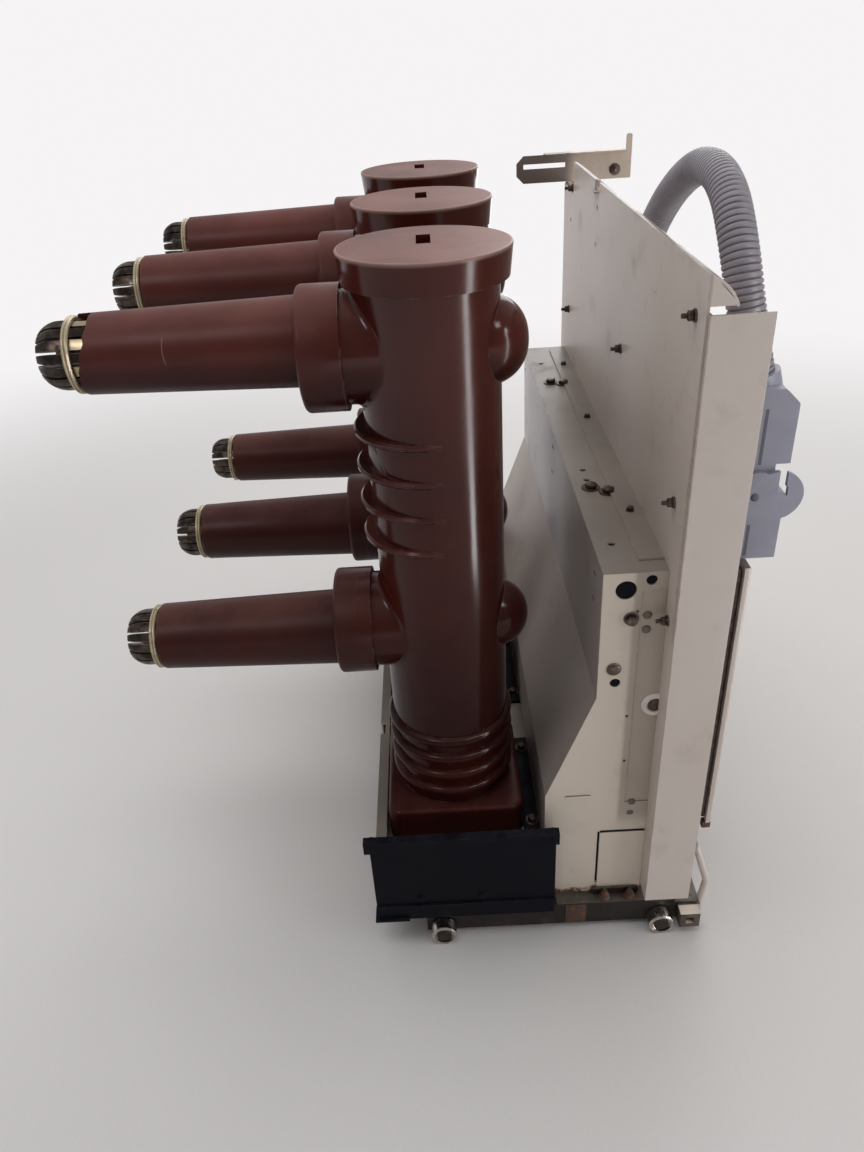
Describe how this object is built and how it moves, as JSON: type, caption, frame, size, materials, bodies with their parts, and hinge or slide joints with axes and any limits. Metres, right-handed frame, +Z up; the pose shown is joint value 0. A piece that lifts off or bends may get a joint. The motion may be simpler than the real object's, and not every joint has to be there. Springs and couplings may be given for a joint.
{
  "type": "withdrawable vacuum circuit breaker",
  "caption": "Draw-out medium-voltage vacuum circuit breaker: moulded poles with sleeved contact arms on a white sheet-metal mechanism housing, roller truck and a plug on a corrugated conduit.",
  "frame": {"origin": "on the floor, under the middle of the box round everything but the conduit and its plug", "axes": "+Z up, +X to the right of an operator who stands at the front, -Y the operator's front, +Y the way the contact arms point"},
  "size_m": [0.657, 0.5985, 0.7396],
  "materials": {
    "epoxy": "gloss",
    "contact": "aged",
    "garter": "satin",
    "white_sheet": "satin",
    "dark_steel": "satin",
    "black_plastic": "satin",
    "galvanised": "satin",
    "roller_steel": "satin",
    "white_rod": "satin",
    "dark_plastic": "matte",
    "conduit": "satin",
    "plug": "satin"
  },
  "bodies": {
    "breaker": {"pole_1": "epoxy", "pole_cap_1": "epoxy", "upper_sleeve_1": "epoxy", "upper_contact_1": "contact", "upper_garter_1": "garter", "lower_sleeve_1": "epoxy", "lower_contact_1": "contact", "lower_garter_1": "garter", "pole_2": "epoxy", "pole_cap_2": "epoxy", "upper_sleeve_2": "epoxy", "upper_contact_2": "contact", "upper_garter_2": "garter", "lower_sleeve_2": "epoxy", "lower_contact_2": "contact", "lower_garter_2": "garter", "pole_3": "epoxy", "pole_cap_3": "epoxy", "upper_sleeve_3": "epoxy", "upper_contact_3": "contact", "upper_garter_3": "garter", "lower_sleeve_3": "epoxy", "lower_contact_3": "contact", "lower_garter_3": "garter", "pole_bed": "white_sheet", "mechanism_housing": "white_sheet", "front_pan": "white_sheet", "rear_shield": "white_sheet", "front_cover": "white_sheet", "housing_side_left": "white_sheet", "housing_side_right": "white_sheet", "mechanism_case": "dark_steel", "side_cover_left": "black_plastic", "side_cover_right": "black_plastic", "truck_floor": "galvanised", "front_beam": "galvanised", "truck_rail_left": "galvanised", "truck_rail_right": "galvanised", "corner_bracket": "galvanised", "conduit_gland": "dark_plastic", "conduit": "conduit", "plug": "plug"},
    "rear_roller_left": {"rear_roller_left": "roller_steel"},
    "front_roller_left": {"front_roller_left": "roller_steel"},
    "latch_left": {"latch_tongue_left": "galvanised", "latch_handle_left": "white_rod"},
    "rear_roller_right": {"rear_roller_right": "roller_steel"},
    "front_roller_right": {"front_roller_right": "roller_steel"},
    "latch_right": {"latch_tongue_right": "galvanised", "latch_handle_right": "white_rod"},
    "lever": {"plug_lever": "plug"}
  },
  "joints": [
    {"name": "rear_roller_left_spin", "type": "hinge", "parent": "breaker", "child": "rear_roller_left", "pos_m": [-0.3215, 0.00125, 0.0135], "axis": [1, 0, 0], "continuous": true},
    {"name": "front_roller_left_spin", "type": "hinge", "parent": "breaker", "child": "front_roller_left", "pos_m": [-0.3215, -0.22875, 0.0135], "axis": [1, 0, 0], "continuous": true},
    {"name": "latch_left_slide", "type": "slide", "parent": "breaker", "child": "latch_left", "axis": [1, 0, 0], "range_m": [0, 0.016], "stiffness_N_per_m": 600, "springref_m": -0.015},
    {"name": "rear_roller_right_spin", "type": "hinge", "parent": "breaker", "child": "rear_roller_right", "pos_m": [0.3215, 0.00125, 0.0135], "axis": [1, 0, 0], "continuous": true},
    {"name": "front_roller_right_spin", "type": "hinge", "parent": "breaker", "child": "front_roller_right", "pos_m": [0.3215, -0.22875, 0.0135], "axis": [1, 0, 0], "continuous": true},
    {"name": "latch_right_slide", "type": "slide", "parent": "breaker", "child": "latch_right", "axis": [-1, 0, 0], "range_m": [0, 0.016], "stiffness_N_per_m": 600, "springref_m": -0.015},
    {"name": "plug_lever_turn", "type": "hinge", "parent": "breaker", "child": "lever", "pos_m": [-0.297, -0.26875, 0.503], "axis": [1, 0, 0], "range_deg": [0, 60]}
  ]
}
